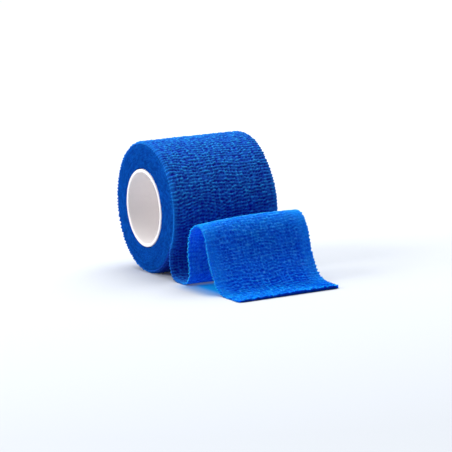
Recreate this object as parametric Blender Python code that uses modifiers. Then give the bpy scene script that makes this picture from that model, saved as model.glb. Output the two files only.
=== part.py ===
"""Cohesive bandage roll: a crinkled elastic web wound on a paperboard core, with its loose end laid out in front.

Lengths are metres and +Z is up. X runs along the roll's axis. The roll stands at the back, towards +Y,
and the loose end runs out towards -Y. The origin is on the floor, under the middle of the whole object.
"""

import math
from collections import namedtuple

import bmesh
import bpy

MM = 0.001

# Driving sizes
WEB_WIDTH = 50 * MM  # the cloth's width, and the core's length
WEB_THICKNESS = 1.0 * MM  # crinkled cloth, as it lies free
ROLL_RADIUS = 28.95 * MM  # over the last turn, where the loose end leaves it
LAYER_PITCH = 0.7 * MM  # how much one tight turn adds to the radius
CORE_RADIUS = 16.75 * MM
CORE_WALL = 1.5 * MM
GAP = 0.3 * MM  # between pieces that lie against each other
EDGE_SOFTNESS = 2.6 * MM  # how far the wound edges round over
FLAT_DEPTH = 0.2 * MM  # how far the roll's weight flattens its underside
LEAVE_ANGLE = 30.0  # degrees below the front of the roll, where the loose end leaves it
SEAT_ANGLE = 25.0  # degrees over which the winding sinks to seat the start of the loose end

# Steps that set how fine the solids are
TURN_STEPS = 120
CORE_STEPS = 96
EDGE_STEPS = 4
CORE_EDGE_STEPS = 2
SPAN_STEPS = 12
SHEET_ROWS = 72
SHEET_COLUMNS = 8
WELD_DISTANCE = 0.000001

# The loose end, section by section from the roll to the cut end, in millimetres. Reach is forward of the
# roll's axis and height is above the floor, both to the middle of the cloth, at its left and right edges.
# Crown is how much higher the cloth stands halfway across.
Fold = namedtuple("Fold", "name left_reach left_height right_reach right_height half_width crown")
FOLDS = [
    Fold("hang", 23.6, 9.3, 23.6, 9.3, 24.9, 0.0),
    Fold("hang", 23.5, 5.6, 23.6, 5.6, 24.8, 0.0),
    Fold("foot", 24.9, 2.4, 25.0, 2.4, 24.7, 0.0),
    Fold("foot", 27.8, 0.9, 28.0, 0.9, 24.6, 0.0),
    Fold("floor", 31.8, 0.5, 32.0, 0.5, 24.5, 0.0),
    Fold("floor", 35.6, 0.6, 36.0, 0.6, 24.4, 0.0),
    Fold("rise", 38.7, 1.9, 39.2, 1.9, 24.3, 0.0),
    Fold("rise", 39.9, 4.6, 40.4, 4.6, 24.2, 0.1),
    Fold("rise", 39.5, 9.0, 40.0, 9.2, 24.1, 0.2),
    Fold("rise", 39.2, 14.0, 39.7, 14.6, 24.1, 0.3),
    Fold("rise", 39.9, 19.0, 40.0, 20.0, 24.0, 0.5),
    Fold("rise", 41.6, 22.8, 41.4, 24.2, 24.0, 0.7),
    Fold("crest", 44.6, 25.6, 44.0, 27.2, 24.0, 0.8),
    Fold("crest", 48.8, 26.9, 47.6, 28.4, 24.0, 0.9),
    Fold("crest", 52.9, 25.6, 51.6, 27.4, 24.0, 0.8),
    Fold("fall", 55.9, 22.0, 55.0, 24.0, 24.0, 0.6),
    Fold("fall", 57.0, 17.0, 57.6, 18.6, 24.0, 0.4),
    Fold("fall", 58.6, 12.2, 59.1, 13.4, 24.0, 0.3),
    Fold("fall", 60.9, 8.0, 61.2, 9.0, 24.0, 0.2),
    Fold("fall", 63.8, 4.0, 64.2, 5.0, 24.0, 0.1),
    Fold("tail", 67.0, 1.6, 67.6, 2.6, 24.0, 0.0),
    Fold("tail", 71.0, 0.6, 71.4, 1.5, 24.0, 0.0),
    Fold("tail", 76.0, 0.5, 76.0, 1.0, 24.1, 0.0),
    Fold("tail", 80.6, 0.5, 79.4, 0.7, 24.1, 0.0),
    Fold("cut end", 85.1, 0.5, 81.9, 0.5, 24.2, 0.0),
]

CLOTH_BLUE = (0.008, 0.095, 0.50, 1.0)
CLOTH_BLUE_LIGHT = (0.012, 0.115, 0.56, 1.0)
PAPERBOARD_WHITE = (0.86, 0.85, 0.84, 1.0)


def outer_radius(turned):
    """Radius of the winding, by the degrees it is wound back from where the loose end leaves it.

    It is a spiral that falls by one tight turn, then by the rest of the seat for the loose end's cloth.
    """
    seat_depth = WEB_THICKNESS + GAP - LAYER_PITCH
    into_seat = max(0.0, turned - 360 + SEAT_ANGLE) / SEAT_ANGLE
    return ROLL_RADIUS - LAYER_PITCH * turned / 360 - seat_depth * into_seat


# Places that follow from the sizes
TURNED_TO_BACK = 180 + LEAVE_ANGLE
TURNED_TO_BOTTOM = 270 + LEAVE_ANGLE
AXIS_HEIGHT = outer_radius(TURNED_TO_BOTTOM) - FLAT_DEPTH
AXIS_Y = (FOLDS[-1].left_reach * MM - outer_radius(TURNED_TO_BACK)) / 2


def around_axis(x, radius, turned):
    """A point at a radius from the roll's axis, wound back by so many degrees from the leaving line."""
    angle = math.radians(turned - LEAVE_ANGLE)
    y = AXIS_Y - radius * math.cos(angle)
    return x, y, AXIS_HEIGHT + radius * math.sin(angle)


def clear_scene():
    for item in list(bpy.data.objects):
        bpy.data.objects.remove(item, do_unlink=True)


def make_material(name, colour, roughness):
    material = bpy.data.materials.new(name)
    material.use_nodes = True
    shader = material.node_tree.nodes["Principled BSDF"]
    shader.inputs["Base Color"].default_value = colour
    shader.inputs["Roughness"].default_value = roughness
    shader.inputs["Metallic"].default_value = 0.0
    return material


def add_object(name, bm, material, collection):
    """Puts a finished mesh into the collection as a named object."""
    bmesh.ops.recalc_face_normals(bm, faces=bm.faces)
    mesh = bpy.data.meshes.new(name)
    bm.to_mesh(mesh)
    bm.free()
    mesh.materials.append(material)
    item = bpy.data.objects.new(name, mesh)
    collection.objects.link(item)
    return item


def winding_profile(turned):
    """Section through the winding at one angle, as (x, radius), from the left of the bore to its right.

    The shelf point has the same radius all round, so the first and last sections can share it.
    """
    outer = outer_radius(turned)
    bore = CORE_RADIUS + GAP
    shelf = outer_radius(360) - EDGE_SOFTNESS
    left_half = [(-WEB_WIDTH / 2, bore), (-WEB_WIDTH / 2, shelf)]
    for step in range(EDGE_STEPS + 1):
        angle = math.pi / 2 * step / EDGE_STEPS
        x = -WEB_WIDTH / 2 + EDGE_SOFTNESS * (1 - math.cos(angle))
        left_half.append((x, outer - EDGE_SOFTNESS * (1 - math.sin(angle))))
    right_half = [(-x, radius) for x, radius in reversed(left_half)]
    return left_half + [(0.0, outer)] + right_half


def make_wound_roll(material, collection):
    """The wound form: a spiral outline with one step, where the last turn hands over to the loose end."""
    bm = bmesh.new()
    sections = []
    for step in range(TURN_STEPS + 1):
        turned = 360 * step / TURN_STEPS
        ring = []
        for x, radius in winding_profile(turned):
            x, y, z = around_axis(x, radius, turned)
            ring.append(bm.verts.new((x, y, max(z, 0.0))))
        sections.append(ring)
    for here, there in zip(sections, sections[1:]):
        for i in range(len(here)):
            j = (i + 1) % len(here)
            bm.faces.new((here[i], here[j], there[j], there[i]))
    bmesh.ops.remove_doubles(bm, verts=bm.verts, dist=WELD_DISTANCE)
    bmesh.ops.dissolve_degenerate(bm, edges=bm.edges, dist=WELD_DISTANCE)
    step_rim = [edge for edge in bm.edges if edge.is_boundary]
    bmesh.ops.edgeloop_fill(bm, edges=step_rim)
    roll = add_object("wound_roll", bm, material, collection)
    roll.data.shade_smooth()
    roll.data.set_sharp_from_angle(angle=math.radians(35))


def make_core(material, collection):
    """The paperboard tube: a rounded wall section turned about the roll's axis."""
    half = WEB_WIDTH / 2
    inner = CORE_RADIUS - CORE_WALL
    corners = [(-half, inner), (-half, CORE_RADIUS), (half, CORE_RADIUS), (half, inner)]
    bm = bmesh.new()
    wall = [bm.verts.new((x, 0.0, radius)) for x, radius in corners]
    for i in range(len(wall)):
        bm.edges.new((wall[i], wall[(i + 1) % len(wall)]))
    core = add_object("core", bm, material, collection)
    core.location = (0.0, AXIS_Y, AXIS_HEIGHT)

    rounding = core.modifiers.new("rounded_rims", "BEVEL")
    rounding.affect = "VERTICES"
    rounding.width = CORE_WALL / 4
    rounding.segments = CORE_EDGE_STEPS

    turning = core.modifiers.new("turned_wall", "SCREW")
    turning.axis = "X"
    turning.steps = CORE_STEPS
    turning.render_steps = CORE_STEPS
    turning.use_merge_vertices = True
    turning.merge_threshold = WELD_DISTANCE
    turning.use_normal_calculate = True


def smooth_between(before, start, end, after, share):
    """Catmull-Rom value between start and end, for tuples of equal length."""
    result = []
    for a, b, c, d in zip(before, start, end, after):
        bend = (2 * a - 5 * b + 4 * c - d) * share**2
        twist = (3 * b - a - 3 * c + d) * share**3
        result.append(0.5 * (2 * b + (c - a) * share + bend + twist))
    return tuple(result)


def leaving_fold(turned):
    """The cloth's section where it still lies against the winding, in the columns of the fold table."""
    radius = ROLL_RADIUS - WEB_THICKNESS / 2
    x, y, z = around_axis(WEB_WIDTH / 2, radius, turned)
    reach = (AXIS_Y - y) / MM
    return Fold("leaving", reach, z / MM, reach, z / MM, x / MM, 0.0)


def loose_end_rows():
    """Evenly spaced sections of the loose end, each a tuple of the fold table's numbers."""
    gap_angle = math.degrees(GAP / ROLL_RADIUS)
    folds = [leaving_fold(4.0 - gap_angle), leaving_fold(-gap_angle)] + FOLDS
    points = [fold[1:] for fold in folds]
    beyond = tuple(2 * last - earlier for last, earlier in zip(points[-1], points[-2]))
    points.append(beyond)

    fine = []
    for i in range(1, len(points) - 2):
        for step in range(SPAN_STEPS):
            fine.append(smooth_between(*points[i - 1 : i + 3], step / SPAN_STEPS))
    fine.append(points[-2])

    travelled = [0.0]
    for here, there in zip(fine, fine[1:]):
        left = math.dist(here[0:2], there[0:2])
        right = math.dist(here[2:4], there[2:4])
        travelled.append(travelled[-1] + (left + right) / 2)

    rows = []
    span = 0
    for row in range(SHEET_ROWS + 1):
        wanted = travelled[-1] * row / SHEET_ROWS
        while span < len(fine) - 2 and travelled[span + 1] < wanted:
            span += 1
        share = (wanted - travelled[span]) / (travelled[span + 1] - travelled[span])
        rows.append([a + (b - a) * share for a, b in zip(fine[span], fine[span + 1])])
    return rows


def make_loose_end(material, collection):
    """The sheet that has come off the roll: a flat grid laid along the folds, then thickened."""
    bm = bmesh.new()
    bmesh.ops.create_grid(bm, x_segments=SHEET_COLUMNS, y_segments=SHEET_ROWS, size=1.0)
    rows = loose_end_rows()
    for vert in bm.verts:
        across = vert.co.x
        row = round((vert.co.y + 1) / 2 * SHEET_ROWS)
        left_reach, left_height, right_reach, right_height, half_width, crown = rows[row]
        to_right = (across + 1) / 2
        reach = left_reach + (right_reach - left_reach) * to_right
        height = left_height + (right_height - left_height) * to_right + crown * (1 - across**2)
        height = max(height * MM, WEB_THICKNESS / 2)
        vert.co = (across * half_width * MM, AXIS_Y - reach * MM, height)
    sheet = add_object("loose_end", bm, material, collection)
    sheet.data.shade_smooth()

    thickening = sheet.modifiers.new("cloth_thickness", "SOLIDIFY")
    thickening.thickness = WEB_THICKNESS
    thickening.offset = 0.0


def main():
    clear_scene()
    collection = bpy.data.collections.new("cohesive_bandage_roll")
    bpy.context.scene.collection.children.link(collection)
    make_wound_roll(make_material("wound_cloth", CLOTH_BLUE, 0.85), collection)
    make_loose_end(make_material("loose_cloth", CLOTH_BLUE_LIGHT, 0.85), collection)
    make_core(make_material("white_paperboard", PAPERBOARD_WHITE, 0.7), collection)


main()
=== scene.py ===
import math

import bmesh
import bpy
import numpy as np
from mathutils import Matrix, Vector


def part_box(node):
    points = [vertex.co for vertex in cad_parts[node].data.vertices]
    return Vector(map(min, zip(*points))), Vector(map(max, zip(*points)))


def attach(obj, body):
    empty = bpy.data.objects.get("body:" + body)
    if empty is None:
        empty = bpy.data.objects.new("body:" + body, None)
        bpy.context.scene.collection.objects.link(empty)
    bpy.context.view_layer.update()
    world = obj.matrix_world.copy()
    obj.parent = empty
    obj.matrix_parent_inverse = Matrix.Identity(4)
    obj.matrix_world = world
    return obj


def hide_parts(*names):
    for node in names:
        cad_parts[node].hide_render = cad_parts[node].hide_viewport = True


# A roll of crinkled elastic bandage on a paperboard core, its loose end arched and laid out in front.
# Lengths are millimetres unless a name or a note says otherwise, and mm turns them into Blender's metres.
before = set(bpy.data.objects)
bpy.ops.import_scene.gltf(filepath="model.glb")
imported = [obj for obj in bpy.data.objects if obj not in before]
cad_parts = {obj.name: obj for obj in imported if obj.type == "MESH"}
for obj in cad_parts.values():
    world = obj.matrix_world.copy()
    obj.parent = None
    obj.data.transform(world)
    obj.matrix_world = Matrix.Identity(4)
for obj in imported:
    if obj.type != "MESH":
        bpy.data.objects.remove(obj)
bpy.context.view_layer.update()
mm = 0.001
coreLow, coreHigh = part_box("core")
axisY = (coreLow.y + coreHigh.y) / 2 / mm  # the roll's axis runs along X, through here
axisZ = (coreLow.z + coreHigh.z) / 2 / mm
halfWidth = (coreHigh.x - coreLow.x) / 2 / mm  # half the web's width


def linear(hexColour):  # sRGB hex to the linear colour that shaders take, along the sRGB standard's own curve
    parts = [int(hexColour[i:i + 2], 16) / 255 for i in (1, 3, 5)]
    return [part / 12.92 if part <= 0.04045 else ((part + 0.055) / 1.055) ** 2.4 for part in parts] + [1.0]


def smoothStep(low, high, value):
    share = np.clip((value - low) / (high - low), 0, 1)
    return share * share * (3 - 2 * share)


seeds = {  # one for each random field, so every run gives the same cloth
    "rowDrift": 11,
    "ownStep": 12,
    "crest": 13,
    "trough": 14,
    "groupStep": 15,
    "pebble": 16,
    "yarnDrift": 17,
    "yarnLevel": 18,
    "edgeWander": 21,
    "groove": 22,
    "felt": 23,
    "cutEnd": 24,
}
noiseCells = 128  # a field repeats after this many bumps


def softNoise(u, v, field):  # smooth random field from about -1 to 1, with one bump per unit
    table = np.random.default_rng(seeds[field]).uniform(-1, 1, (noiseCells, noiseCells))
    cellU, cellV = np.floor(u).astype(int), np.floor(v).astype(int)
    shareU, shareV = smoothStep(0, 1, u - cellU), smoothStep(0, 1, v - cellV)
    nextU, nextV = (cellU + 1) % noiseCells, (cellV + 1) % noiseCells
    cellU, cellV = cellU % noiseCells, cellV % noiseCells
    here = table[cellU, cellV] * (1 - shareU) + table[nextU, cellV] * shareU
    beside = table[cellU, nextV] * (1 - shareU) + table[nextU, nextV] * shareU
    return here * (1 - shareV) + beside * shareV


web = {  # the cloth's own relief, shared by the roll and the loose end; heights run from 0 to 1
    "rowPitch": 1.52,  # crinkles along the web
    "yarnGap": 1.27,  # elastic yarns across the web
    "yarnSteps": 3,  # points from one yarn to the next
    "thick": 0.45,  # cloth between its two faces; the crinkles make it about 1 mm in all
    "sharpness": 1.7,  # above 1 the crests are narrower than the troughs
    "crest": (0.68, 0.26),  # how high the crests are, and how unevenly
    "crestLength": 1.0,  # from one uneven place to the next, as in every length or patch below
    "trough": (0.13, 0.16),
    "troughLength": 1.7,
    "rowDrift": 0.9,  # how far whole rows of crinkles stray, in row pitches
    "rowDriftPatch": (9, 11),  # along and across the web
    "ownStep": 0.26,  # how much neighbouring crinkles are out of step, in row pitches
    "ownStepLength": 2.5,
    "groupStep": 0.2,  # and how much a few columns together are
    "groupStepPatch": (9, 2.5),  # millimetres along the web, columns across it
    "handOver": (0.3, 0.7),  # where one column of crinkles gives way to the next, in yarn gaps
    "edgeColumns": 17,  # past this many yarns from the middle the rows run straight over the edge
    "edgeEvenness": 0.5,  # and their crests are more even
    "bridge": (0.78, 0.62),  # how far a yarn evens out the crinkles it crosses: one yarn, and the next
    "yarnLevel": (0.58, 0.42),  # and to what height
    "yarnChange": 0.24,  # how unevenly deep the yarns lie
    "yarnChangeLength": 2.2,
    "yarnWidth": 0.22,  # in yarn gaps
    "outerYarn": 23,  # no yarn lies further from the middle
    "yarnDrift": 0.25,  # how far a yarn strays from its straight line
    "yarnDriftPatch": (13, 5),
    "driftEnd": 24,  # it strays no more this far from the middle
    "driftEndPower": 6,  # the higher, the later it starts to stop
    "pebble": 0.24,  # fine unevenness of the cloth itself
    "pebblePatch": (0.5, 0.45),
}
# bumps of noise from one column or yarn to the next, so neighbours aren't alike
columnsApart = {"ownStep": 7, "crest": 5, "trough": 3, "yarnLevel": 9}


def crinkle(s, q, lively=1.0):  # 0 in a trough to 1 on a crest; s runs along the web and q across it
    column = q / web["yarnGap"] - 0.5
    left = np.floor(column)
    patch = web["rowDriftPatch"]
    drift = s / web["rowPitch"] + web["rowDrift"] * softNoise(s / patch[0], q / patch[1], "rowDrift")
    columns = []
    for near in (left, left + 1):  # between two yarns the crinkles keep their own step
        near = np.clip(near, -web["edgeColumns"] - 1, web["edgeColumns"])
        own = softNoise(s / web["ownStepLength"], near * columnsApart["ownStep"], "ownStep")
        group = softNoise(s / web["groupStepPatch"][0], near / web["groupStepPatch"][1], "groupStep")
        shift = web["ownStep"] * own + web["groupStep"] * group
        wave = (0.5 + 0.5 * np.cos(2 * math.pi * (drift + shift))) ** web["sharpness"]
        uneven = softNoise(s / web["crestLength"], near * columnsApart["crest"], "crest")
        atEdge = np.abs(near + 0.5) > web["edgeColumns"]
        crest = web["crest"][0] + web["crest"][1] * uneven * (1 - web["edgeEvenness"] * atEdge)
        uneven = softNoise(s / web["troughLength"], near * columnsApart["trough"], "trough")
        trough = web["trough"][0] + web["trough"][1] * uneven
        columns.append(trough + (crest - trough) * wave)
    across = smoothStep(*web["handOver"], column - left)
    height = columns[0] * (1 - across) + columns[1] * across

    yarn = np.exp(-((column - left - 0.5) / web["yarnWidth"]) ** 2) * (np.abs(q) < web["outerYarn"])
    odd = left % 2 > 0.5
    level = np.where(odd, *web["yarnLevel"])
    uneven = softNoise(s / web["yarnChangeLength"], left * columnsApart["yarnLevel"], "yarnLevel")
    level = level + web["yarnChange"] * uneven
    height = height + np.where(odd, *web["bridge"]) * yarn * (level - height)
    pebble = softNoise(s / web["pebblePatch"][0], q / web["pebblePatch"][1], "pebble")
    return np.clip(0.5 + (height - 0.5) * lively + web["pebble"] * pebble, 0, 1)


def yarnDrift(s, q):
    patch = web["yarnDriftPatch"]
    inside = 1 - np.minimum(np.abs(q) / web["driftEnd"], 1) ** web["driftEndPower"]
    return web["yarnDrift"] * softNoise(s / patch[0], q / patch[1], "yarnDrift") * inside


def acrossYarns(half):  # points across the web, with whole steps from yarn to yarn
    count = int(2 * half / web["yarnGap"] * web["yarnSteps"])
    return (np.arange(count + 1) - count / 2) * web["yarnGap"] / web["yarnSteps"]


def keepGrid(grids, points, crinkleHeight, selvedge, mapAlong, mapAcross):
    # Adds a grid of points, with what the material reads at each, and gives back the points' numbers.
    start = sum(len(grid[0]) for grid in grids)
    values = [np.ravel(value) for value in (crinkleHeight, selvedge, mapAlong, mapAcross)]
    grids.append([points.reshape(-1, 3)] + values)
    return start + np.arange(values[0].size).reshape(points.shape[:-1])


def quads(*corners):  # a face at each place of four grids of point numbers, or a triangle where two meet
    faces = [list(dict.fromkeys(face)) for face in np.stack(corners, -1).reshape(-1, 4).tolist()]
    return [face for face in faces if len(face) > 2]


uvUnit = 10.0  # millimetres to one unit of the cloth's flat map


def makeCloth(name, grids, faces, materials, faceMaterials):
    points, crinkleHeight, selvedge, mapAlong, mapAcross = (np.concatenate(part) for part in zip(*grids))
    mesh = bpy.data.meshes.new(name)
    mesh.from_pydata((points * mm).tolist(), [], faces)
    for material in materials:
        mesh.materials.append(material)
    mesh.polygons.foreach_set("material_index", faceMaterials)
    mesh.polygons.foreach_set("use_smooth", [True] * len(mesh.polygons))
    mesh.validate()
    piece = bpy.data.objects.new(name, mesh)
    bpy.context.collection.objects.link(piece)

    shape = bmesh.new()
    shape.from_mesh(mesh)
    bmesh.ops.recalc_face_normals(shape, faces=shape.faces)
    shape.to_mesh(mesh)
    shape.free()

    for valueName, values in (("crinkle", crinkleHeight), ("selvedge", selvedge)):  # the material reads both
        attribute = mesh.attributes.new(valueName, "FLOAT", "POINT")
        attribute.data.foreach_set("value", values.astype(np.float32))
    layer = mesh.uv_layers.new(name="clothFlat")  # the cloth laid flat
    corners = np.zeros(len(mesh.loops), np.int32)
    mesh.loops.foreach_get("vertex_index", corners)
    flat = np.stack([mapAlong[corners], mapAcross[corners]], 1) / uvUnit
    layer.data.foreach_set("uv", flat.astype(np.float32).ravel())
    return piece


def addNode(tree, kind, settings=None, links=None):
    # A key is an input's name or number, or one of the node's own settings. A Mix node of colours takes
    # its share at 0 and its two colours at 6 and 7.
    node = tree.nodes.new("ShaderNode" + kind)
    for key, value in (settings or {}).items():
        if isinstance(key, int) or key in node.inputs:
            node.inputs[key].default_value = value
        else:
            setattr(node, key, value)
    for key, source in (links or {}).items():
        tree.links.new(source, node.inputs[key])
    return node


def startMaterial(name):
    material = bpy.data.materials.new(name)
    material.use_nodes = True
    tree = material.node_tree
    return material, tree, tree.nodes["Principled BSDF"]


noiseReach = (0.3, 0.7)  # nearly all of a noise texture's values lie between these
nonwoven = {  # what the web's surface is like everywhere
    # the crinkle colours paint shade deep in the troughs and highlight on the tips
    "heights": (0.08, 0.48, 0.85),  # of the crinkles, where they show the trough's, middle's and tip's colour
    "cutHeight": -1.0,  # what the points of its cut edge carry in place of a height
    # its fibres were laid a little thicker and thinner from place to place
    "cloud": {"size": 6.25, "detail": 2.0, "roughness": 0.5, "shade": (0.92, 1.06)},
    # single fibres are about 0.02 mm, too fine to show, so they are drawn as small tufts
    "tuft": {"size": 0.38, "detail": 3.0, "roughness": 0.65, "shade": (0.72, 1.28)},
    "bump": 0.6,
    "bumpDepth": 0.15,
    "roughness": 0.85,
    "ior": 1.54,  # polyester
    "gloss": 0.0,  # its fuzz scatters all gloss away
    "spread": 4.0,  # how far light runs on inside it
    "spreadColour": (0.05, 0.4, 1.0),  # share of that for red, green and blue
}
woundLook = {  # the cloth where it is wound, in colours painted deeper than the single layer's, as shade
    # edge: painted highlight along the edges; cut: the fibre ends, partly painted shade
    # trough and tip: painted shade in the crinkles' hollows and painted highlight on their crests
    "trough": "#161C98",
    "middle": "#1E62C4",
    "tip": "#30A0E8",
    "edge": "#1C7ADA",
    "cut": "#083890",
    "through": 0.0,  # share of the light that goes into the fibres
}
looseLook = {  # and where it is a single layer, painted lighter than the wound cloth, as a lit copy of it
    # the same painted shade, highlight and cut edge colours as the wound cloth's
    "trough": "#0438B0",
    "middle": "#146CD4",
    "tip": "#389AEA",
    "edge": "#1A80E4",
    "cut": "#083890",
    "through": 0.85,
}


def clothSurface(tree, shader, colour, place, unit, look):
    # Uneven shade in broad clouds, and fibre tufts that show as grain and as bump.
    # One unit of place is as many millimetres as unit says.
    shades = []
    for grain in (look["cloud"], look["tuft"]):
        noise = {"Scale": unit / grain["size"], "Detail": grain["detail"], "Roughness": grain["roughness"]}
        noise = addNode(tree, "TexNoise", noise, {"Vector": place}).outputs["Fac"]
        reach = dict(zip(("From Min", "From Max", "To Min", "To Max"), noiseReach + grain["shade"]))
        shades.append(addNode(tree, "MapRange", reach, {"Value": noise}).outputs[0])
    both = addNode(tree, "Math", {"operation": "MULTIPLY"}, {0: shades[0], 1: shades[1]}).outputs[0]
    shaded = addNode(tree, "VectorMath", {"operation": "SCALE"}, {"Vector": colour, "Scale": both}).outputs[0]
    tree.links.new(shaded, shader.inputs["Base Color"])
    bump = {"Strength": look["bump"], "Distance": look["bumpDepth"] * mm}  # of the tufts, the last noise made
    tree.links.new(addNode(tree, "Bump", bump, {"Height": noise}).outputs[0], shader.inputs["Normal"])
    shader.inputs["Roughness"].default_value = look["roughness"]
    shader.inputs["IOR"].default_value = nonwoven["ior"]
    shader.inputs["Specular IOR Level"].default_value = nonwoven["gloss"]


def crinkledNonwoven(name, look):
    # Nonwoven polyester bonded over elastic yarns: matt and soft, with shade painted deeper blue down in its
    # crinkles and highlight painted lighter on their tips, and thin enough for light to come through where it
    # is a single layer.
    material, tree, shader = startMaterial(name)
    flat = addNode(tree, "UVMap", {"uv_map": "clothFlat"}).outputs[0]
    height = addNode(tree, "Attribute", {"attribute_name": "crinkle"}).outputs["Fac"]
    selvedge = addNode(tree, "Attribute", {"attribute_name": "selvedge"}).outputs["Fac"]
    # painted shade in the troughs and painted highlight on the tips, then the painted edge highlight and the
    # cut edge
    trough, middle, tip = nonwoven["heights"]
    lower, upper, cut = (
        addNode(tree, "MapRange", {"From Min": low, "From Max": high}, {"Value": height}).outputs[0]
        for low, high in ((trough, middle), (middle, tip), (0.0, nonwoven["cutHeight"]))
    )
    colours = {"data_type": "RGBA", 6: linear(look["trough"]), 7: linear(look["middle"])}
    colour = addNode(tree, "Mix", colours, {0: lower}).outputs[2]
    for share, shade in ((upper, "tip"), (selvedge, "edge"), (cut, "cut")):
        shade = {"data_type": "RGBA", 7: linear(look[shade])}
        colour = addNode(tree, "Mix", shade, {0: share, 6: colour}).outputs[2]
    clothSurface(tree, shader, colour, flat, uvUnit, nonwoven)
    shader.inputs["Subsurface Weight"].default_value = look["through"]
    shader.inputs["Subsurface Radius"].default_value = nonwoven["spreadColour"]
    shader.inputs["Subsurface Scale"].default_value = nonwoven["spread"] * mm
    return material


stackedEdges = {
    "face": "#0C54B0",
    "groove": "#042E86",
    # from one place where the turns are pressed together to the next
    "cloud": {"size": 3.8, "detail": 3.0, "roughness": 0.5, "shade": (0.86, 1.12)},
    # fibre ends are about 0.02 mm across, so they are drawn as coarse as they need to show
    "tuft": {"size": 0.66, "detail": 3.0, "roughness": 0.7, "shade": (0.72, 1.25)},
    "bump": 0.8,
    "bumpDepth": 0.2,
    "roughness": 0.9,
}


def stackedClothEdges(name, look):
    # The cut edges of many turns pressed together: they look like dense matt felt, with faint rings.
    material, tree, shader = startMaterial(name)
    place = addNode(tree, "TexCoord").outputs["Object"]
    height = addNode(tree, "Attribute", {"attribute_name": "crinkle"}).outputs["Fac"]
    colours = {"data_type": "RGBA", 6: linear(look["groove"]), 7: linear(look["face"])}
    colour = addNode(tree, "Mix", colours, {0: height}).outputs[2]
    clothSurface(tree, shader, colour, place, 1 / mm, look)
    return material


paperTube = {
    "light": "#FFFAF8",
    "dark": "#FCF5F4",
    "pulp": 0.8,  # a short wood fibre's length
    "pulpDetail": 4.0,
    "bump": 0.2,
    "bumpDepth": 0.05,
    "roughness": 0.6,
    "ior": 1.5,
}


def whitePaperboard(name, look):
    # Wound paper tube: white, smooth and matt, a little warm in its shade.
    material, tree, shader = startMaterial(name)
    place = addNode(tree, "TexCoord").outputs["Object"]
    noise = {"Scale": 1 / (look["pulp"] * mm), "Detail": look["pulpDetail"]}
    pulp = addNode(tree, "TexNoise", noise, {"Vector": place}).outputs["Fac"]
    colours = {"data_type": "RGBA", 6: linear(look["dark"]), 7: linear(look["light"])}
    tree.links.new(addNode(tree, "Mix", colours, {0: pulp}).outputs[2], shader.inputs["Base Color"])
    bump = {"Strength": look["bump"], "Distance": look["bumpDepth"] * mm}
    tree.links.new(addNode(tree, "Bump", bump, {"Height": pulp}).outputs[0], shader.inputs["Normal"])
    shader.inputs["Roughness"].default_value = look["roughness"]
    shader.inputs["IOR"].default_value = look["ior"]
    return material


camera = {  # fitted to the outlines in the photo
    "azimuth": -26.84,  # degrees, as are elevation and tilt
    "elevation": 9.63,
    "tilt": -1.95,
    "distance": 1477.4,
    "aim": (-1.05, -1.72, 21.91),
    "focalPixels": 3500,
    "imagePixels": 452,
    "sensor": 36.0,
    "clipEnd": 50000,
}


def makeCamera():
    azimuth, elevation, tilt = (math.radians(camera[key]) for key in ("azimuth", "elevation", "tilt"))
    level = math.cos(elevation)
    back = Vector((math.sin(azimuth) * level, -math.cos(azimuth) * level, math.sin(elevation)))
    right = Vector((math.cos(azimuth), math.sin(azimuth), 0))
    up = back.cross(right)
    right, up = right * math.cos(tilt) + up * math.sin(tilt), up * math.cos(tilt) - right * math.sin(tilt)
    data = bpy.data.cameras.new("camera")
    data.sensor_width = camera["sensor"]
    data.lens = camera["focalPixels"] * camera["sensor"] / camera["imagePixels"]
    data.clip_end = camera["clipEnd"] * mm
    item = bpy.data.objects.new("camera", data)
    bpy.context.collection.objects.link(item)
    place = Vector(camera["aim"]) * mm + back * camera["distance"] * mm
    item.matrix_world = Matrix.Translation(place) @ Matrix((right, up, back)).transposed().to_4x4()
    bpy.context.scene.camera = item


makeCamera()
print("camera placed")

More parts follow.
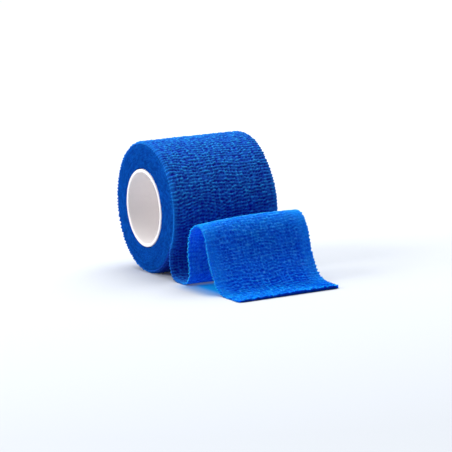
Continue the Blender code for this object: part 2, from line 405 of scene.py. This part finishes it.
roll = {
    "rows": 540,  # points round the roll
    "radius": 28.95,  # over the last turn, where the loose end leaves it
    "bore": coreHigh.y / mm - axisY + 0.3,  # a little clear of the core
    "layerPitch": 0.7,
    "leaveDegrees": 30.0,  # the loose end leaves this far below the front; other degrees count on from there
    "seatDepth": 0.6,  # how far the winding sinks under the start of the loose end
    "seatDegrees": 25.0,
    "seatLayers": 6,  # how deep that sinking reaches
    "selvedge": 24.9,  # half the outer turn's width, measured over the shoulders
    "shoulder": 2.6,  # how the web's edges round over
    "lifted": 0.35,  # and how much of that is left where the loose end pulls the web away
    "liftedTo": (15.0, 80.0),  # degrees over which it comes back
    "relief": 0.85,
    "level": 0.75,  # height of the crinkles that lies on the solid's own surface
    "edgeRelief": -0.1,  # the crinkles are a little shallower along the edges
    "edgeReliefAt": (19, 24.5),  # from the middle of the web, as each At below
    "scallop": 0.2,  # how far the crinkles pull the edge in and out
    "scallopAt": (22, 24.5),
    "rimAt": (23.9, 24.5),  # a painted highlight makes the edge stand out as a light line, most near the loose end
    "rimFlatness": 0.6,  # the crinkles are flatter there
    "rimFade": 0.8,  # how much of the line goes further on round the roll
    "rimFadeDegrees": (30, 75),
    "edgeLight": 0.5,  # painted highlight: how much lighter the last millimetre looks elsewhere
    "edgeLightAt": (22.6, 23.6),
    "hangPaintedShade": 0.25,  # painted shade: how much deeper the cloth is coloured low on the roll's front and on the loose end, where they meet
    "hangDegrees": (0, 50),
    "underPaintedShade": 0.7,  # and painted shade on the underside, where the last turn closes in on the loose end
    "underEdge": 0.6,  # how much of the painted highlight along the edges is taken away there
    "underDegrees": (290, 335),
    "footDrop": 0.1,  # the outer turn's cut edge ends this far under its deepest crinkles
    "footHeight": 0.6,  # its place between the trough's colour and the tip's
    "footOnMap": 0.5,  # and its place on the flat map, past the selvedge
    "firstLayer": 2,  # the stacked edges start with the second turn under the outer one
    "layerSteps": 2,  # points across one layer's edge
    "ledge": 0.25,  # step from the outer turn down to the stacked edges
    "groove": 0.16,
    "grooveShare": (0.6, 0.4),  # how much of that a groove has, and how unevenly
    "grooveDegrees": 4,  # from one uneven place to the next
    "edgeWander": 0.14,  # how unevenly the layers are stacked
    "wandersPerTurn": 9.0,
    "wanderRow": {-1: 16.5, 1: 23.5},  # each side follows a row of its own through the noise
    "felt": 0.13,  # roughness of the stacked edges
    "feltLength": 0.9,  # from one rough place to the next
    "feltRow": {-1: -7, 1: 7},
    "dentDepth": 1.4,  # the outer turn's crinkles press this far down into the edges under it
    "dentFade": 2.1,  # and fade out over this much more
    "dentInwards": 0.7,  # as a share of the crinkles' own depth
    "dentDown": 0.5,
    "plainShade": 0.65,  # the stacked edges' place between their groove's colour and their face's
    "grooveShade": 0.4,
    "feltShade": 0.35,
    "upperLight": 0.4,  # and how much lighter they look just under the outer turn
    "upperLightDepth": (3.5, 1.2),
    "mapPerDegree": 0.5,  # length of the stacked edges on the flat map
}


def spiralRadius(turned):  # turned counts on, degree by degree, through all the turns
    radius = roll["radius"] - roll["layerPitch"] * turned / 360
    turn = np.maximum(np.round(turned / 360), 1)
    depth = np.clip(1 - (turn - 1) / roll["seatLayers"], 0, 1) ** 2
    near = np.clip(1 - np.abs(turned - 360 * turn) / roll["seatDegrees"], 0, 1)
    return radius - roll["seatDepth"] * depth * near


def aroundAxis(x, radius, turned):
    angle = np.radians(turned - roll["leaveDegrees"])
    y = axisY - radius * np.cos(angle)
    z = np.maximum(axisZ + radius * np.sin(angle), 0.0)  # its weight flattens it where it stands
    return np.stack(np.broadcast_arrays(x, y, z), -1)


def overShoulder(across, outer, sunk, curl):
    # A point of the outer turn, sunk below its outer face. With less curl its edges stand out straighter.
    bend = np.maximum(np.abs(across) - (halfWidth - roll["shoulder"]), 0) / roll["shoulder"] * curl
    straight = np.minimum(np.abs(across), halfWidth - roll["shoulder"])
    x = straight + (roll["shoulder"] / curl - sunk) * np.sin(bend)
    radius = outer - roll["shoulder"] / curl + (roll["shoulder"] / curl - sunk) * np.cos(bend)
    return np.sign(across) * x, radius


def stackedSide(side, turned, along):  # the edges of the turns below, along the spiral, on side -1 or 1
    steps, shoulder = roll["layerSteps"], roll["shoulder"]
    turns = round((roll["radius"] - roll["bore"]) / roll["layerPitch"])
    point = np.arange((turns - roll["firstLayer"]) * steps + 1)
    within = ((point % steps) / steps)[None, :]  # 0 in the groove on top of a layer
    degrees, layer = np.meshgrid(turned, roll["firstLayer"] + point // steps, indexing="ij")
    above = np.maximum(spiralRadius(degrees + 360 * layer), roll["bore"])
    below = np.maximum(spiralRadius(degrees + 360 * (layer + 1)), roll["bore"])
    radius = above + (below - above) * within
    depth = np.maximum(spiralRadius(turned)[:, None] - radius, 0)
    chord = np.sqrt(np.maximum(shoulder ** 2 - (shoulder - depth) ** 2, 0))
    rounding = np.where(depth < shoulder, shoulder - chord, 0.0)

    woundBack = (degrees + 360 * (layer + within)) / 360  # in turns
    wanderRow = np.full_like(woundBack, roll["wanderRow"][side])
    wander = softNoise(woundBack * roll["wandersPerTurn"], wanderRow, "edgeWander")
    feltRow = layer + within + roll["feltRow"][side]
    felt = softNoise(np.radians(degrees) * radius / roll["feltLength"], feltRow, "felt")
    dent = roll["relief"] * (1 - crinkle(along, side * roll["selvedge"]))[:, None]
    dent = dent * np.clip(1 - (depth - roll["dentDepth"]) / roll["dentFade"], 0, 1)
    uneven = softNoise(degrees / roll["grooveDegrees"], layer, "groove")
    groove = (within == 0) * (roll["grooveShare"][0] + roll["grooveShare"][1] * uneven)

    inset = roll["ledge"] + rounding + roll["groove"] * groove + roll["edgeWander"] * wander
    inset = inset + roll["felt"] * felt + roll["dentInwards"] * dent
    points = aroundAxis(side * (halfWidth - inset), radius - roll["dentDown"] * dent, degrees)
    height = roll["plainShade"] - roll["grooveShade"] * groove - roll["feltShade"] * felt
    height = height + roll["upperLight"] * smoothStep(*roll["upperLightDepth"], depth)
    return points, height, np.zeros_like(height), degrees * roll["mapPerDegree"], radius


def buildRoll(cloth, edges):
    turned = np.linspace(0, 360, roll["rows"] + 1)
    along = -np.radians(turned) * (roll["radius"] - roll["layerPitch"] / 2)
    across = acrossYarns(roll["selvedge"])
    across[0], across[-1] = -roll["selvedge"], roll["selvedge"]
    s, q = np.meshgrid(along, across, indexing="ij")  # along and across the web
    fromMiddle = np.abs(q)
    height = crinkle(s, q)

    # the light line along the edge is a painted highlight; the crinkles are flatter under it too
    free = 1 - roll["rimFade"] * smoothStep(*roll["rimFadeDegrees"], turned)
    rim = free[:, None] * smoothStep(*roll["rimAt"], fromMiddle)
    relief = roll["relief"] * (1 + roll["edgeRelief"] * smoothStep(*roll["edgeReliefAt"], fromMiddle))
    relief = relief * (1 - roll["rimFlatness"] * rim)
    outer = spiralRadius(turned)
    curl = roll["lifted"] + (1 - roll["lifted"]) * smoothStep(*roll["liftedTo"], turned)
    sunk = relief * (roll["level"] - height)
    x, radius = overShoulder(q + yarnDrift(s, q), outer[:, None], sunk, curl[:, None])
    pull = roll["scallop"] * (height - roll["level"]) * smoothStep(*roll["scallopAt"], fromMiddle)
    top = aroundAxis(x + np.sign(q) * pull, radius, turned[:, None])

    # painted shade near where the loose end leaves and on the underside, and painted highlight along the
    # edges
    under = smoothStep(*roll["underDegrees"], turned)
    shade = roll["hangPaintedShade"] * (1 - smoothStep(*roll["hangDegrees"], turned)) + roll["underPaintedShade"] * under
    edging = roll["edgeLight"] * smoothStep(*roll["edgeLightAt"], fromMiddle)
    band = np.maximum(rim, edging) * (1 - roll["underEdge"] * under[:, None])
    grids, feet, sides = [], {}, {}
    topAt = keepGrid(grids, top, height * (1 - shade)[:, None], band, s, q)
    for side in (-1, 1):
        sunk = roll["relief"] * roll["level"] + roll["footDrop"]
        x, radius = overShoulder(side * roll["selvedge"], outer, sunk, curl)
        foot = aroundAxis(x, radius, turned)
        mapAcross = np.full_like(along, side * (roll["selvedge"] + roll["footOnMap"]))
        feet[side] = keepGrid(grids, foot, roll["footHeight"] * free, free, along, mapAcross)
        sides[side] = keepGrid(grids, *stackedSide(side, turned[:-1], along[:-1]))

    faces, kinds = [], []

    def cover(kind, *corners):
        new = quads(*corners)
        faces.extend(new)
        kinds.extend([kind] * len(new))

    clothKind, edgesKind = 0, 1
    cover(clothKind, topAt[:-1, :-1], topAt[1:, :-1], topAt[1:, 1:], topAt[:-1, 1:])
    cover(clothKind, topAt[0, :-1], topAt[0, 1:], topAt[-1, 1:], topAt[-1, :-1])  # where the loose end leaves
    bores = {}
    for side in (-1, 1):
        edge = topAt[:, 0] if side < 0 else topAt[:, -1]
        foot, stack = feet[side], sides[side]
        cover(clothKind, edge[:-1], edge[1:], foot[1:], foot[:-1])
        steps, last = roll["layerSteps"], stack.shape[1] - 1
        handOver = stack[0, np.minimum(np.arange(last + 1) + steps, last)]  # one turn on, one layer down
        stack = np.vstack([stack, handOver])
        cover(edgesKind, foot[:-1], foot[1:], stack[1:, 0], stack[:-1, 0])
        cover(edgesKind, stack[:-1, :-1], stack[1:, :-1], stack[1:, 1:], stack[:-1, 1:])
        ends = np.array([edge[0], foot[0], *stack[0, :steps + 1], foot[-1], edge[-1]])
        faces.append(ends.tolist())  # closes the step where the loose end leaves
        kinds.append(edgesKind)
        bores[side] = stack[:, -1]
    cover(edgesKind, bores[-1][:-1], bores[-1][1:], bores[1][1:], bores[1][:-1])
    return makeCloth("woundRoll", grids, faces, [cloth, edges], kinds)


woundCloth = crinkledNonwoven("crinkledNonwovenWound", woundLook)
woundRoll = buildRoll(woundCloth, stackedClothEdges("stackedClothEdges", stackedEdges))
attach(woundRoll, "root")
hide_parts("wound_roll")
print("wound roll made,", len(woundRoll.data.polygons), "faces")

loose = {
    "rowStep": 0.3,  # from one row of points to the next
    "foldSteps": 24,  # points from one line of the fold table to the next, before they are spaced evenly
    "halfWidth": 24.2,  # as the web's yarns count it; the fold table says how wide it lies
    "halfSolid": 0.5,  # half the thickness of the solid that it stands for
    "onRoll": 2.0,  # how far its start runs up under the outer turn
    "tuck": 0.2,  # and how far it sinks there
    "shoulderFade": 28.0,  # over this length the rounded edges flatten out
    "leastCurl": 0.01,  # what is left of them
    "relief": 0.4,
    "floorRelief": 0.6,  # how far the relief goes back to the roll's where the cloth lies on the floor
    "lively": 0.75,  # how strong its crinkles are beside the roll's
    "innerShare": 0.35,  # how much of the crinkles shows on the inner side
    "hangsUntil": (4, 20),  # along the cloth, where its crinkles stop being like the roll's
    "floorFrom": (82, 95),  # along the cloth, where it lies down
    "backedUntil": 22.0,  # up to here the roll's cloth lies close behind it and no light comes through
    "scallop": 0.9,  # how far the crinkles pull its long edges in and out
    "scallopAt": (22.5, 24),  # from the middle of the web, as each At below
    "corner": 1.6,  # how much the corners of its cut end are rounded
    "cutRows": 3,  # rows of points that make the ragged cut edge
    "cutLeast": 0.3,  # how far they stand out at least
    "cutRagged": 0.35,  # and how unevenly
    "cutRaggedLength": 0.8,
    "footRows": 4,  # rows at the cut end whose inner side comes right down
    "footHeight": 0.1,  # and how close to the floor
    "floorGap": 0.02,  # the cloth keeps this far off the floor
    "tailPaintedShade": 0.26,  # painted shade: the cloth is coloured deeper where it lies on the floor
    "cornerPaintedShade": 0.2,  # and more painted shade at the corner that stands a little off the floor
    "cornerAt": (6, 22),  # towards the right
    "cornerFrom": (90, 101),  # along the cloth
    "deepest": -0.8,  # below 0 the trough's colour goes over into the cut edge's
    "innerTone": (0.95, 0.8),  # the inner side is light where the outer side is deep
    "bandLight": 0.55,  # painted highlight: how much lighter it looks along its long edges
    "bandAt": (17, 21),
    "bandFrom": (20, 40),  # along the cloth
    "edgeLight": 0.3,  # and in the last millimetre
    "edgeLightAt": (22.8, 23.8),
    "bandUntil": (88, 102),  # along the cloth
    "innerBand": 0.3,  # share of both on the inner side
    "innerOnMap": 100,  # the inner side has a place of its own on the flat map
    # Folds: name, left reach and height, right reach and height, half width, crown halfway across.
    # Reach is forward of the roll's axis and height is above the floor, to the middle of the cloth.
    "folds": [
        ("hang", 23.6, 9.3, 23.6, 9.3, 24.9, 0.0),
        ("hang", 23.5, 5.6, 23.6, 5.6, 24.8, 0.0),
        ("foot", 24.9, 2.4, 25.0, 2.4, 24.7, 0.0),
        ("foot", 27.8, 0.9, 28.0, 0.9, 24.6, 0.0),
        ("floor", 31.8, 0.5, 32.0, 0.5, 24.5, 0.0),
        ("floor", 35.6, 0.6, 36.0, 0.6, 24.4, 0.0),
        ("rise", 38.7, 1.9, 39.2, 1.9, 24.3, 0.0),
        ("rise", 39.9, 4.6, 40.4, 4.6, 24.2, 0.1),
        ("rise", 39.5, 9.0, 40.0, 9.2, 24.1, 0.2),
        ("rise", 39.2, 14.0, 39.7, 14.6, 24.1, 0.3),
        ("rise", 39.9, 19.0, 40.0, 20.0, 24.0, 0.5),
        ("rise", 41.6, 22.8, 41.4, 24.2, 24.0, 0.7),
        ("crest", 44.6, 25.6, 44.0, 27.2, 24.0, 0.8),
        ("crest", 48.8, 26.9, 47.6, 28.4, 24.0, 0.9),
        ("crest", 52.9, 25.6, 51.6, 27.4, 24.0, 0.8),
        ("fall", 55.9, 22.0, 55.0, 24.0, 24.0, 0.6),
        ("fall", 57.0, 17.0, 57.6, 18.6, 24.0, 0.4),
        ("fall", 58.6, 12.2, 59.1, 13.4, 24.0, 0.3),
        ("fall", 60.9, 8.0, 61.2, 9.0, 24.0, 0.2),
        ("fall", 63.8, 4.0, 64.2, 5.0, 24.0, 0.1),
        ("tail", 67.0, 1.6, 67.6, 2.7, 24.0, 0.0),
        ("tail", 71.0, 0.6, 71.4, 1.7, 24.0, 0.0),
        ("tail", 76.0, 0.5, 76.0, 1.3, 24.1, 0.0),
        ("tail", 80.6, 0.5, 79.4, 1.2, 24.1, 0.0),
        ("cut end", 85.1, 0.5, 81.9, 1.2, 24.2, 0.0),
    ],
}


def rollSection(turned):  # the cloth's section where it still lies on the roll, like a row of the fold table
    x, y, z = aroundAxis(roll["selvedge"], spiralRadius(turned) - loose["halfSolid"], turned)
    return (axisY - y, z, axisY - y, z, roll["selvedge"], 0.0)


def looseRows():  # sections of the cloth at even steps along a smooth curve through the folds
    startDegrees = math.degrees(loose["onRoll"] / roll["radius"])
    knots = [rollSection(2 * startDegrees), rollSection(startDegrees), rollSection(0.0)]
    knots += [fold[1:] for fold in loose["folds"]]
    knots = np.array(knots + [2 * np.array(knots[-1]) - np.array(knots[-2])], float)
    before, first, second, after = (knots[i:len(knots) - 3 + i] for i in range(4))
    fine = []
    for share in np.linspace(0, 1, loose["foldSteps"], endpoint=False):
        bend = (2 * before - 5 * first + 4 * second - after) * share ** 2
        bend = bend + (3 * first - before - 3 * second + after) * share ** 3
        fine.append(0.5 * (2 * first + (second - before) * share + bend))
    fine = np.stack(fine, 1).reshape(-1, knots.shape[1])
    fine = np.vstack([fine, knots[-2]])
    steps = np.diff(fine, axis=0)
    lengths = (np.hypot(steps[:, 0], steps[:, 1]) + np.hypot(steps[:, 2], steps[:, 3])) / 2
    travelled = np.concatenate([[0], np.cumsum(lengths)])
    count = round(travelled[-1] / loose["rowStep"])
    wanted = np.linspace(0, travelled[-1], count + 1)
    rows = np.stack([np.interp(wanted, travelled, column) for column in fine.T], 1)
    return wanted - loose["onRoll"], rows


def buildLooseEnd(cloth, backedCloth):
    along, rows = looseRows()
    across = acrossYarns(loose["halfWidth"])
    share = across / across[-1]
    s, q = np.meshgrid(along, across, indexing="ij")  # along and across the web
    fromMiddle = np.abs(q)

    # the folds, as a sheet with no thickness
    left, right = rows[:, None, 0:2], rows[:, None, 2:4]
    both = left + (right - left) * ((share[None, :, None] + 1) / 2)
    toEnd = np.minimum(along[-1] - along, loose["corner"])
    rounding = loose["corner"] - np.sqrt(loose["corner"] ** 2 - (loose["corner"] - toEnd) ** 2)
    x = share[None, :] * (rows[:, 4] - rounding)[:, None] + yarnDrift(s, q)
    y = axisY - both[:, :, 0]
    z = both[:, :, 1] + rows[:, None, 5] * (1 - share[None, :] ** 2)
    middle = np.stack([x, y, z], -1)
    lengthwise, crosswise = np.gradient(middle, axis=0), np.gradient(middle, axis=1)
    normal = np.cross(lengthwise, crosswise)  # out of the side that faces outwards on the roll
    normal /= np.linalg.norm(normal, axis=-1, keepdims=True)
    fade = 1 - smoothStep(0, loose["shoulderFade"], along)[:, None]
    rounded, drop = overShoulder(x, 0.0, 0.0, roll["lifted"] * fade + loose["leastCurl"])
    middle[:, :, 0] += rounded - x
    middle += normal * drop[:, :, None]

    # the crinkles on both of its sides
    nearRoll = 1 - smoothStep(*loose["hangsUntil"], s)
    onFloor = smoothStep(*loose["floorFrom"], s)
    height = crinkle(s, q, loose["lively"] + (1 - loose["lively"]) * np.maximum(nearRoll, onFloor))
    likeRoll = np.maximum(nearRoll, loose["floorRelief"] * onFloor)
    relief = loose["relief"] + (roll["relief"] - loose["relief"]) * likeRoll
    relief = relief * (1 + roll["edgeRelief"] * nearRoll * smoothStep(*roll["edgeReliefAt"], fromMiddle))
    halfCloth, halfSolid = web["thick"] / 2, loose["halfSolid"]
    wave = relief * (height - 1) + halfSolid - halfCloth + nearRoll * (1 - roll["level"]) * roll["relief"]
    cut = slice(-loose["cutRows"], None)
    ragged = loose["cutRagged"] * softNoise(q[cut] / loose["cutRaggedLength"], q[cut] * 0, "cutEnd")
    wave[cut] = np.maximum(wave[cut], loose["cutLeast"]) + ragged
    hidden = loose["tuck"] * (1 - smoothStep(-loose["onRoll"], 0, s))
    pull = loose["scallop"] * (height - 0.5) * smoothStep(*loose["scallopAt"], fromMiddle)
    middle[:, :, 0] += np.sign(q) * pull
    outer = middle + normal * (wave + halfCloth - hidden)[:, :, None]
    flatter = loose["innerShare"] * wave + (1 - loose["innerShare"]) * (halfCloth - halfSolid)
    inner = middle + normal * (flatter - halfCloth - hidden)[:, :, None]
    foot = slice(-loose["footRows"], None)
    inner[foot, :, 2] = np.minimum(inner[foot, :, 2], loose["footHeight"])
    for layer in (outer, inner):
        layer[:, :, 2] = np.maximum(layer[:, :, 2], loose["floorGap"])

    # what the material reads: the crinkles' height less the painted shade, and the painted highlight along
    # its edges
    inside = loose["innerTone"][0] - loose["innerTone"][1] * height
    corner = smoothStep(*loose["cornerAt"], q) * smoothStep(*loose["cornerFrom"], s)
    # painted shade on the loose end beside the roll, where it lies on the floor, and more at its corner
    height = height * (1 - roll["hangPaintedShade"] * nearRoll)
    height = height - loose["tailPaintedShade"] * onFloor - loose["cornerPaintedShade"] * corner
    height = np.maximum(height, loose["deepest"])
    # the cut edge's deep colour is partly the fibre ends and partly painted shade
    height[-1] = inside[-1] = nonwoven["cutHeight"]  # the ends of the fibres show there
    band = loose["bandLight"] * smoothStep(*loose["bandAt"], fromMiddle) * smoothStep(*loose["bandFrom"], s)
    band = band + loose["edgeLight"] * smoothStep(*loose["edgeLightAt"], fromMiddle)
    band = band * (1 - smoothStep(*loose["bandUntil"], s))
    grids = []
    outerAt = keepGrid(grids, outer, height, band, s, q)
    innerAt = keepGrid(grids, inner, inside, loose["innerBand"] * band, s, q + loose["innerOnMap"])

    faces, kinds = [], []
    for corners in (
        (outerAt[:-1, :-1], outerAt[1:, :-1], outerAt[1:, 1:], outerAt[:-1, 1:]),
        (innerAt[:-1, :-1], innerAt[:-1, 1:], innerAt[1:, 1:], innerAt[1:, :-1]),
        (outerAt[:-1, 0], outerAt[1:, 0], innerAt[1:, 0], innerAt[:-1, 0]),
        (outerAt[1:, -1], outerAt[:-1, -1], innerAt[:-1, -1], innerAt[1:, -1]),
        (outerAt[0, 1:], outerAt[0, :-1], innerAt[0, :-1], innerAt[0, 1:]),
        (outerAt[-1, :-1], outerAt[-1, 1:], innerAt[-1, 1:], innerAt[-1, :-1]),
    ):
        faces += quads(*corners)
        backed = s.ravel()[corners[0].ravel() % s.size] < loose["backedUntil"]
        kinds += backed.astype(int).tolist()
    return makeCloth("looseEnd", grids, faces, [cloth, backedCloth], kinds), along[-1]


looseEnd, looseLength = buildLooseEnd(crinkledNonwoven("crinkledNonwovenLoose", looseLook), woundCloth)
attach(looseEnd, "root")
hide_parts("loose_end")
print("loose end made,", len(looseEnd.data.polygons), "faces,", round(looseLength, 1), "mm long")

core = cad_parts["core"]
core.data.materials.clear()
core.data.materials.append(whitePaperboard("whitePaperboard", paperTube))
print("core finished")

studio = {
    "floorSize": 6000,
    "floor": "#CFD3D9",
    "floorBounce": "#ACB2BC",  # what it throws back at the object, less than its paint would
    "floorRoughness": 0.9,
    "floorGloss": 0.1,
    "litColour": "#FFFFFF",  # the far floor is lit from below, so it runs into the pale sky
    "litFrom": 300,  # distances from the middle
    "litTo": 1000,
    "litLeast": 0.02,
    "litStrength": 0.44,
    "tint": "#0890DC",  # painted light: the tint of light through the cloth of the arch, on the floor under it
    "archMiddle": (-1.0, -22.5),  # of the floor under the arch, along X and Y
    "glowHalf": (25.0, 20.0),  # half the size of the patch that glows
    "glowSoft": (7.0, 11.0),  # how much of that is its soft rim
    "glowStrength": 0.27,
    "spillHalf": (31.0, 22.0),  # and of the patch that takes on the tint
    "spillSoft": (12.0, 12.0),
    "sky": (0.88, 0.94, 1.0, 1),  # linear
    "skyStrength": 0.24,
    "skySeen": 1.0,  # its strength as the camera sees it
    "lamps": {
        "topLight": {"place": (250, 330, 1000), "size": 1300, "power": 20.0},
        "leftLight": {"place": (-1100, 300, 600), "size": 800, "power": 12.5},
    },
    "lampAim": (0, 0, 30),
}


def underArch(tree, half, soft):  # 1 under the arch, falling to 0 at its edges
    place = addNode(tree, "TexCoord").outputs["Object"]
    sides = addNode(tree, "SeparateXYZ", links={0: place}).outputs
    shares = []
    for side, middle, reach, fadeOver in zip(sides, studio["archMiddle"], half, soft):
        off = addNode(tree, "Math", {"operation": "SUBTRACT", 1: middle * mm}, {0: side}).outputs[0]
        off = addNode(tree, "Math", {"operation": "ABSOLUTE"}, {0: off}).outputs[0]
        inside = reach - fadeOver
        fade = {"interpolation_type": "SMOOTHSTEP", "From Min": reach * mm, "From Max": inside * mm}
        shares.append(addNode(tree, "MapRange", fade, {"Value": off}).outputs[0])
    return addNode(tree, "Math", {"operation": "MULTIPLY"}, {0: shares[0], 1: shares[1]}).outputs[0]


def makeFloor():
    bpy.ops.mesh.primitive_plane_add(size=studio["floorSize"] * mm)
    floor = bpy.context.object
    floor.name = "paleFloor"
    material, tree, shader = startMaterial("paleFloor")
    tint = linear(studio["tint"])
    thrown = addNode(tree, "LightPath").outputs["Is Diffuse Ray"]
    paint = {"data_type": "RGBA", 6: linear(studio["floor"]), 7: linear(studio["floorBounce"])}
    colour = addNode(tree, "Mix", paint, {0: thrown}).outputs[2]
    # painted light: the floor under the arch glows, and its paint takes on the blue of light through the
    # cloth
    glow = underArch(tree, studio["glowHalf"], studio["glowSoft"])
    spill = underArch(tree, studio["spillHalf"], studio["spillSoft"])
    colour = addNode(tree, "Mix", {"data_type": "RGBA", 7: tint}, {0: spill, 6: colour}).outputs[2]
    tree.links.new(colour, shader.inputs["Base Color"])
    shader.inputs["Roughness"].default_value = studio["floorRoughness"]
    shader.inputs["Specular IOR Level"].default_value = studio["floorGloss"]

    place = addNode(tree, "TexCoord").outputs["Object"]
    distance = addNode(tree, "VectorMath", {"operation": "LENGTH"}, {0: place}).outputs["Value"]
    reach = {
        "From Min": studio["litFrom"] * mm,
        "From Max": studio["litTo"] * mm,
        "To Min": studio["litLeast"],
        "To Max": studio["litStrength"],
    }
    lit = addNode(tree, "MapRange", reach, {"Value": distance}).outputs[0]
    light = {"data_type": "RGBA", 6: linear(studio["litColour"]), 7: tint}
    tree.links.new(addNode(tree, "Mix", light, {0: glow}).outputs[2], shader.inputs["Emission Color"])
    strength = {"operation": "MULTIPLY_ADD", 1: studio["glowStrength"]}
    glowing = addNode(tree, "Math", strength, {0: glow, 2: lit}).outputs[0]
    tree.links.new(glowing, shader.inputs["Emission Strength"])
    floor.data.materials.append(material)


def makeLight():
    world = bpy.data.worlds.new("studio")
    bpy.context.scene.world = world
    world.use_nodes = True
    tree = world.node_tree
    seen = addNode(tree, "LightPath").outputs["Is Camera Ray"]
    reach = {"To Min": studio["skyStrength"], "To Max": studio["skySeen"]}
    strength = addNode(tree, "MapRange", reach, {"Value": seen}).outputs[0]
    background = tree.nodes["Background"]
    background.inputs["Color"].default_value = studio["sky"]
    tree.links.new(strength, background.inputs["Strength"])
    for name, lamp in studio["lamps"].items():
        data = bpy.data.lights.new(name, "AREA")
        data.shape = "SQUARE"
        data.size = lamp["size"] * mm
        data.energy = lamp["power"]
        item = bpy.data.objects.new(name, data)
        item.location = [length * mm for length in lamp["place"]]
        back = item.location - Vector([length * mm for length in studio["lampAim"]])
        item.rotation_euler = back.to_track_quat("Z", "Y").to_euler()
        bpy.context.collection.objects.link(item)
    bpy.context.scene.view_settings.view_transform = "Standard"


makeFloor()
makeLight()
print("studio set")
